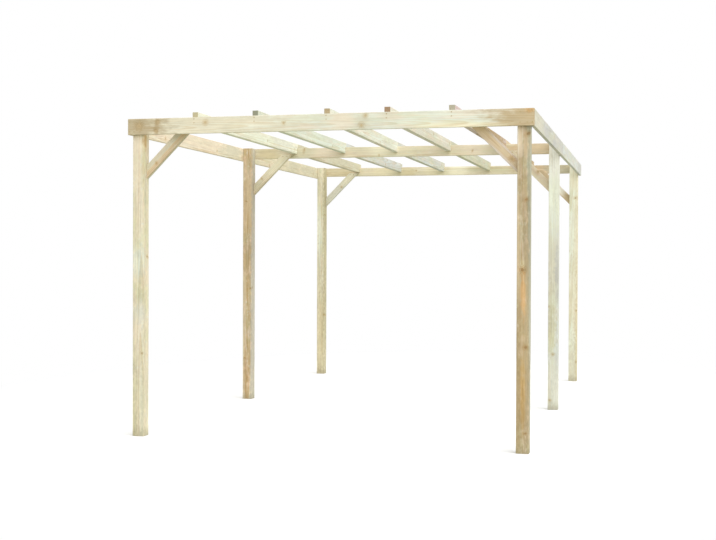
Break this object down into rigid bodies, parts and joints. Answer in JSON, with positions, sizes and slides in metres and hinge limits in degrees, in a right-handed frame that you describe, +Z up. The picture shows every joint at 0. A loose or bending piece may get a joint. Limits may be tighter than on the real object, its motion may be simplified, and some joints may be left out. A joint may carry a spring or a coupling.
{
  "type": "carport",
  "caption": "Open timber carport frame: square posts in rows with crossbeams and knee braces, tied by side and front boards, with notched rafters on top and no roof covering.",
  "frame": {"origin": "on the ground, midway between the two sides and between the front board and the rear crossbeam", "axes": "+X to the right of a person who faces the front, +Y from the front to the rear, +Z up"},
  "size_m": [3, 5, 2.4],
  "materials": {
    "post": "sawn, pressure treated",
    "crossbeam": "planed, pressure treated",
    "brace": "planed, pressure treated",
    "board": "planed, pressure treated",
    "rafter": "planed, pressure treated",
    "screw": "zinc plated"
  },
  "bodies": {
    "root": {"post_front_left": "post", "post_front_right": "post", "post_middle_left": "post", "post_middle_right": "post", "post_rear_left": "post", "post_rear_right": "post", "crossbeam_front": "crossbeam", "crossbeam_middle": "crossbeam", "crossbeam_rear": "crossbeam", "brace_front_left": "brace", "brace_front_right": "brace", "brace_middle_left": "brace", "brace_middle_right": "brace", "brace_rear_left": "brace", "brace_rear_right": "brace", "front_board": "board", "side_board_left_front": "board", "side_board_left_rear": "board", "side_board_right_front": "board", "side_board_right_rear": "board", "rafter_front_1": "rafter", "rafter_front_2": "rafter", "rafter_front_3": "rafter", "rafter_front_4": "rafter", "rafter_front_5": "rafter", "rafter_rear_1": "rafter", "rafter_rear_2": "rafter", "rafter_rear_3": "rafter", "rafter_rear_4": "rafter", "rafter_rear_5": "rafter"}
  },
  "joints": []
}
